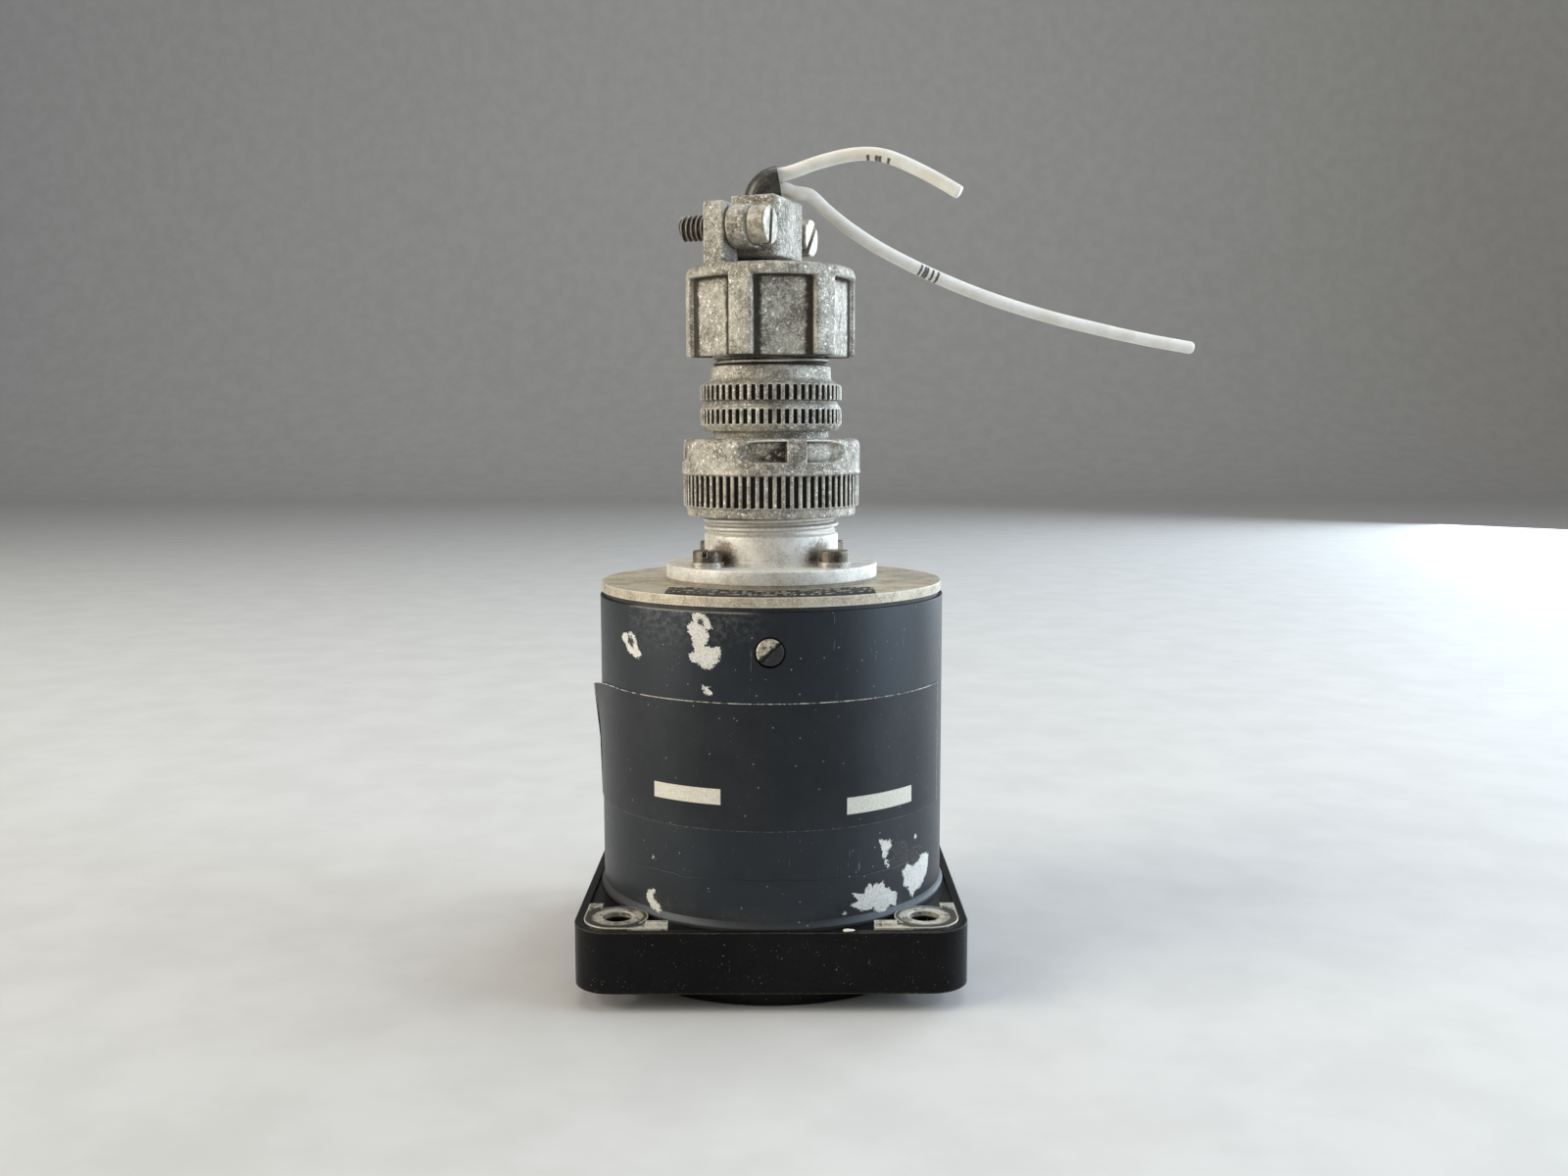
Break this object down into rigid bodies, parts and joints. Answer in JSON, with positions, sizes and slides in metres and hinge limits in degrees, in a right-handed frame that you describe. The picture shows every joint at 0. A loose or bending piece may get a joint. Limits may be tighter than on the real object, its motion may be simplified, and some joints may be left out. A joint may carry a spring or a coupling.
{
  "type": "carburetor air temperature gauge",
  "caption": "Panel-mounted round temperature gauge with a square flange, a tubular case and a screwed-on connector plug with a cable clamp and cut wires.",
  "frame": {"origin": "centre of the front ring's face, the lowest face of the gauge as it stands face down", "axes": "+Z back along the case to the plug; -Y towards the labelled side of the case; +X to the right of that side, where the free wires go"},
  "size_m": [0.1045, 0.0604, 0.1325],
  "materials": {
    "gloss_black": "gloss",
    "satin_black": "satin",
    "worn_plate": "worn",
    "screw_steel": "worn",
    "brassy_screw": "worn",
    "label_film": "gloss",
    "bare_aluminium": "satin",
    "cast_metal": "satin",
    "black_rubber": "matte",
    "clear_glass": "polished",
    "dial_black": "matte",
    "pointer_white": "matte",
    "brass_part": "satin",
    "soft_iron": "satin",
    "pivot_steel": "polished",
    "coil_copper": "satin",
    "phenolic": "satin",
    "black_insert": "satin",
    "white_insulation": "satin",
    "dark_sleeving": "satin"
  },
  "bodies": {
    "gauge": {"bezel_flange": "gloss_black", "mounting_nut_plates": "worn_plate", "case_shell": "satin_black", "case_label": "label_film", "case_screws": "brassy_screw", "case_gasket": "black_rubber", "back_plate": "bare_aluminium", "plate_decal": "label_film", "glass_snap_ring": "screw_steel", "cover_glass": "clear_glass", "glass_gasket": "black_rubber", "dial_spacer_ring": "dial_black", "dial_plate": "dial_black", "dial_screws": "screw_steel", "dial_posts": "brass_part", "movement_base": "bare_aluminium", "movement_screws": "brassy_screw", "magnet": "soft_iron", "pole_pieces": "soft_iron", "pole_screws": "brassy_screw", "iron_core": "soft_iron", "core_bracket": "brass_part", "front_bridge": "brass_part", "rear_bridge": "brass_part", "bridge_screws": "brassy_screw", "front_jewel_screw": "brass_part", "rear_jewel_screw": "brass_part", "spring_arms": "brass_part", "hairsprings": "brass_part", "frame_pillars": "brass_part", "terminal_board": "phenolic", "board_screws": "brassy_screw", "resistor_spools": "phenolic", "terminal_lugs": "brass_part", "internal_leads": "white_insulation", "receptacle_gasket": "black_rubber", "receptacle_shell": "bare_aluminium", "receptacle_insert": "black_insert", "contact_pins": "brass_part", "flange_screws": "screw_steel", "flange_lockwashers": "screw_steel"},
    "pointer": {"pointer": "pointer_white", "pivot_staffs": "pivot_steel", "moving_coil": "coil_copper", "balance_weights": "brass_part"},
    "plug": {"plug_shell": "cast_metal", "plug_insert": "black_insert", "socket_contacts": "brass_part", "end_bell": "cast_metal", "clamp_body": "cast_metal", "clamp_grommet": "black_rubber", "wire_sleeve": "dark_sleeving", "plug_leads": "white_insulation", "wire_long": "white_insulation", "wire_short": "white_insulation"},
    "coupling_ring": {"coupling_ring": "cast_metal", "coupling_snap_ring": "screw_steel"},
    "saddle": {"clamp_saddle": "cast_metal", "clamp_screws": "screw_steel", "clamp_lockwashers": "screw_steel"}
  },
  "joints": [
    {"name": "pointer_turn", "type": "hinge", "parent": "gauge", "child": "pointer", "pos_m": [0, 0, 0], "axis": [0, 0, 1], "range_deg": [0, 112], "stiffness_Nm_per_rad": 0.00002, "deforming": ["hairsprings"]},
    {"name": "plug_slide", "type": "slide", "parent": "gauge", "child": "plug", "axis": [0, 0, 1], "range_m": [0, 0.00825]},
    {"name": "ring_turn", "type": "hinge", "parent": "plug", "child": "coupling_ring", "pos_m": [0, 0, 0], "axis": [0, 0, 1], "range_deg": [0, 2340]},
    {"name": "saddle_slide", "type": "slide", "parent": "plug", "child": "saddle", "axis": [0.9304, -0.3665, 0], "range_m": [0, 0.001]}
  ],
  "couplings": [
    {"joint": "ring_turn", "follows": "plug_slide", "rad_per_m": 4947.4}
  ]
}
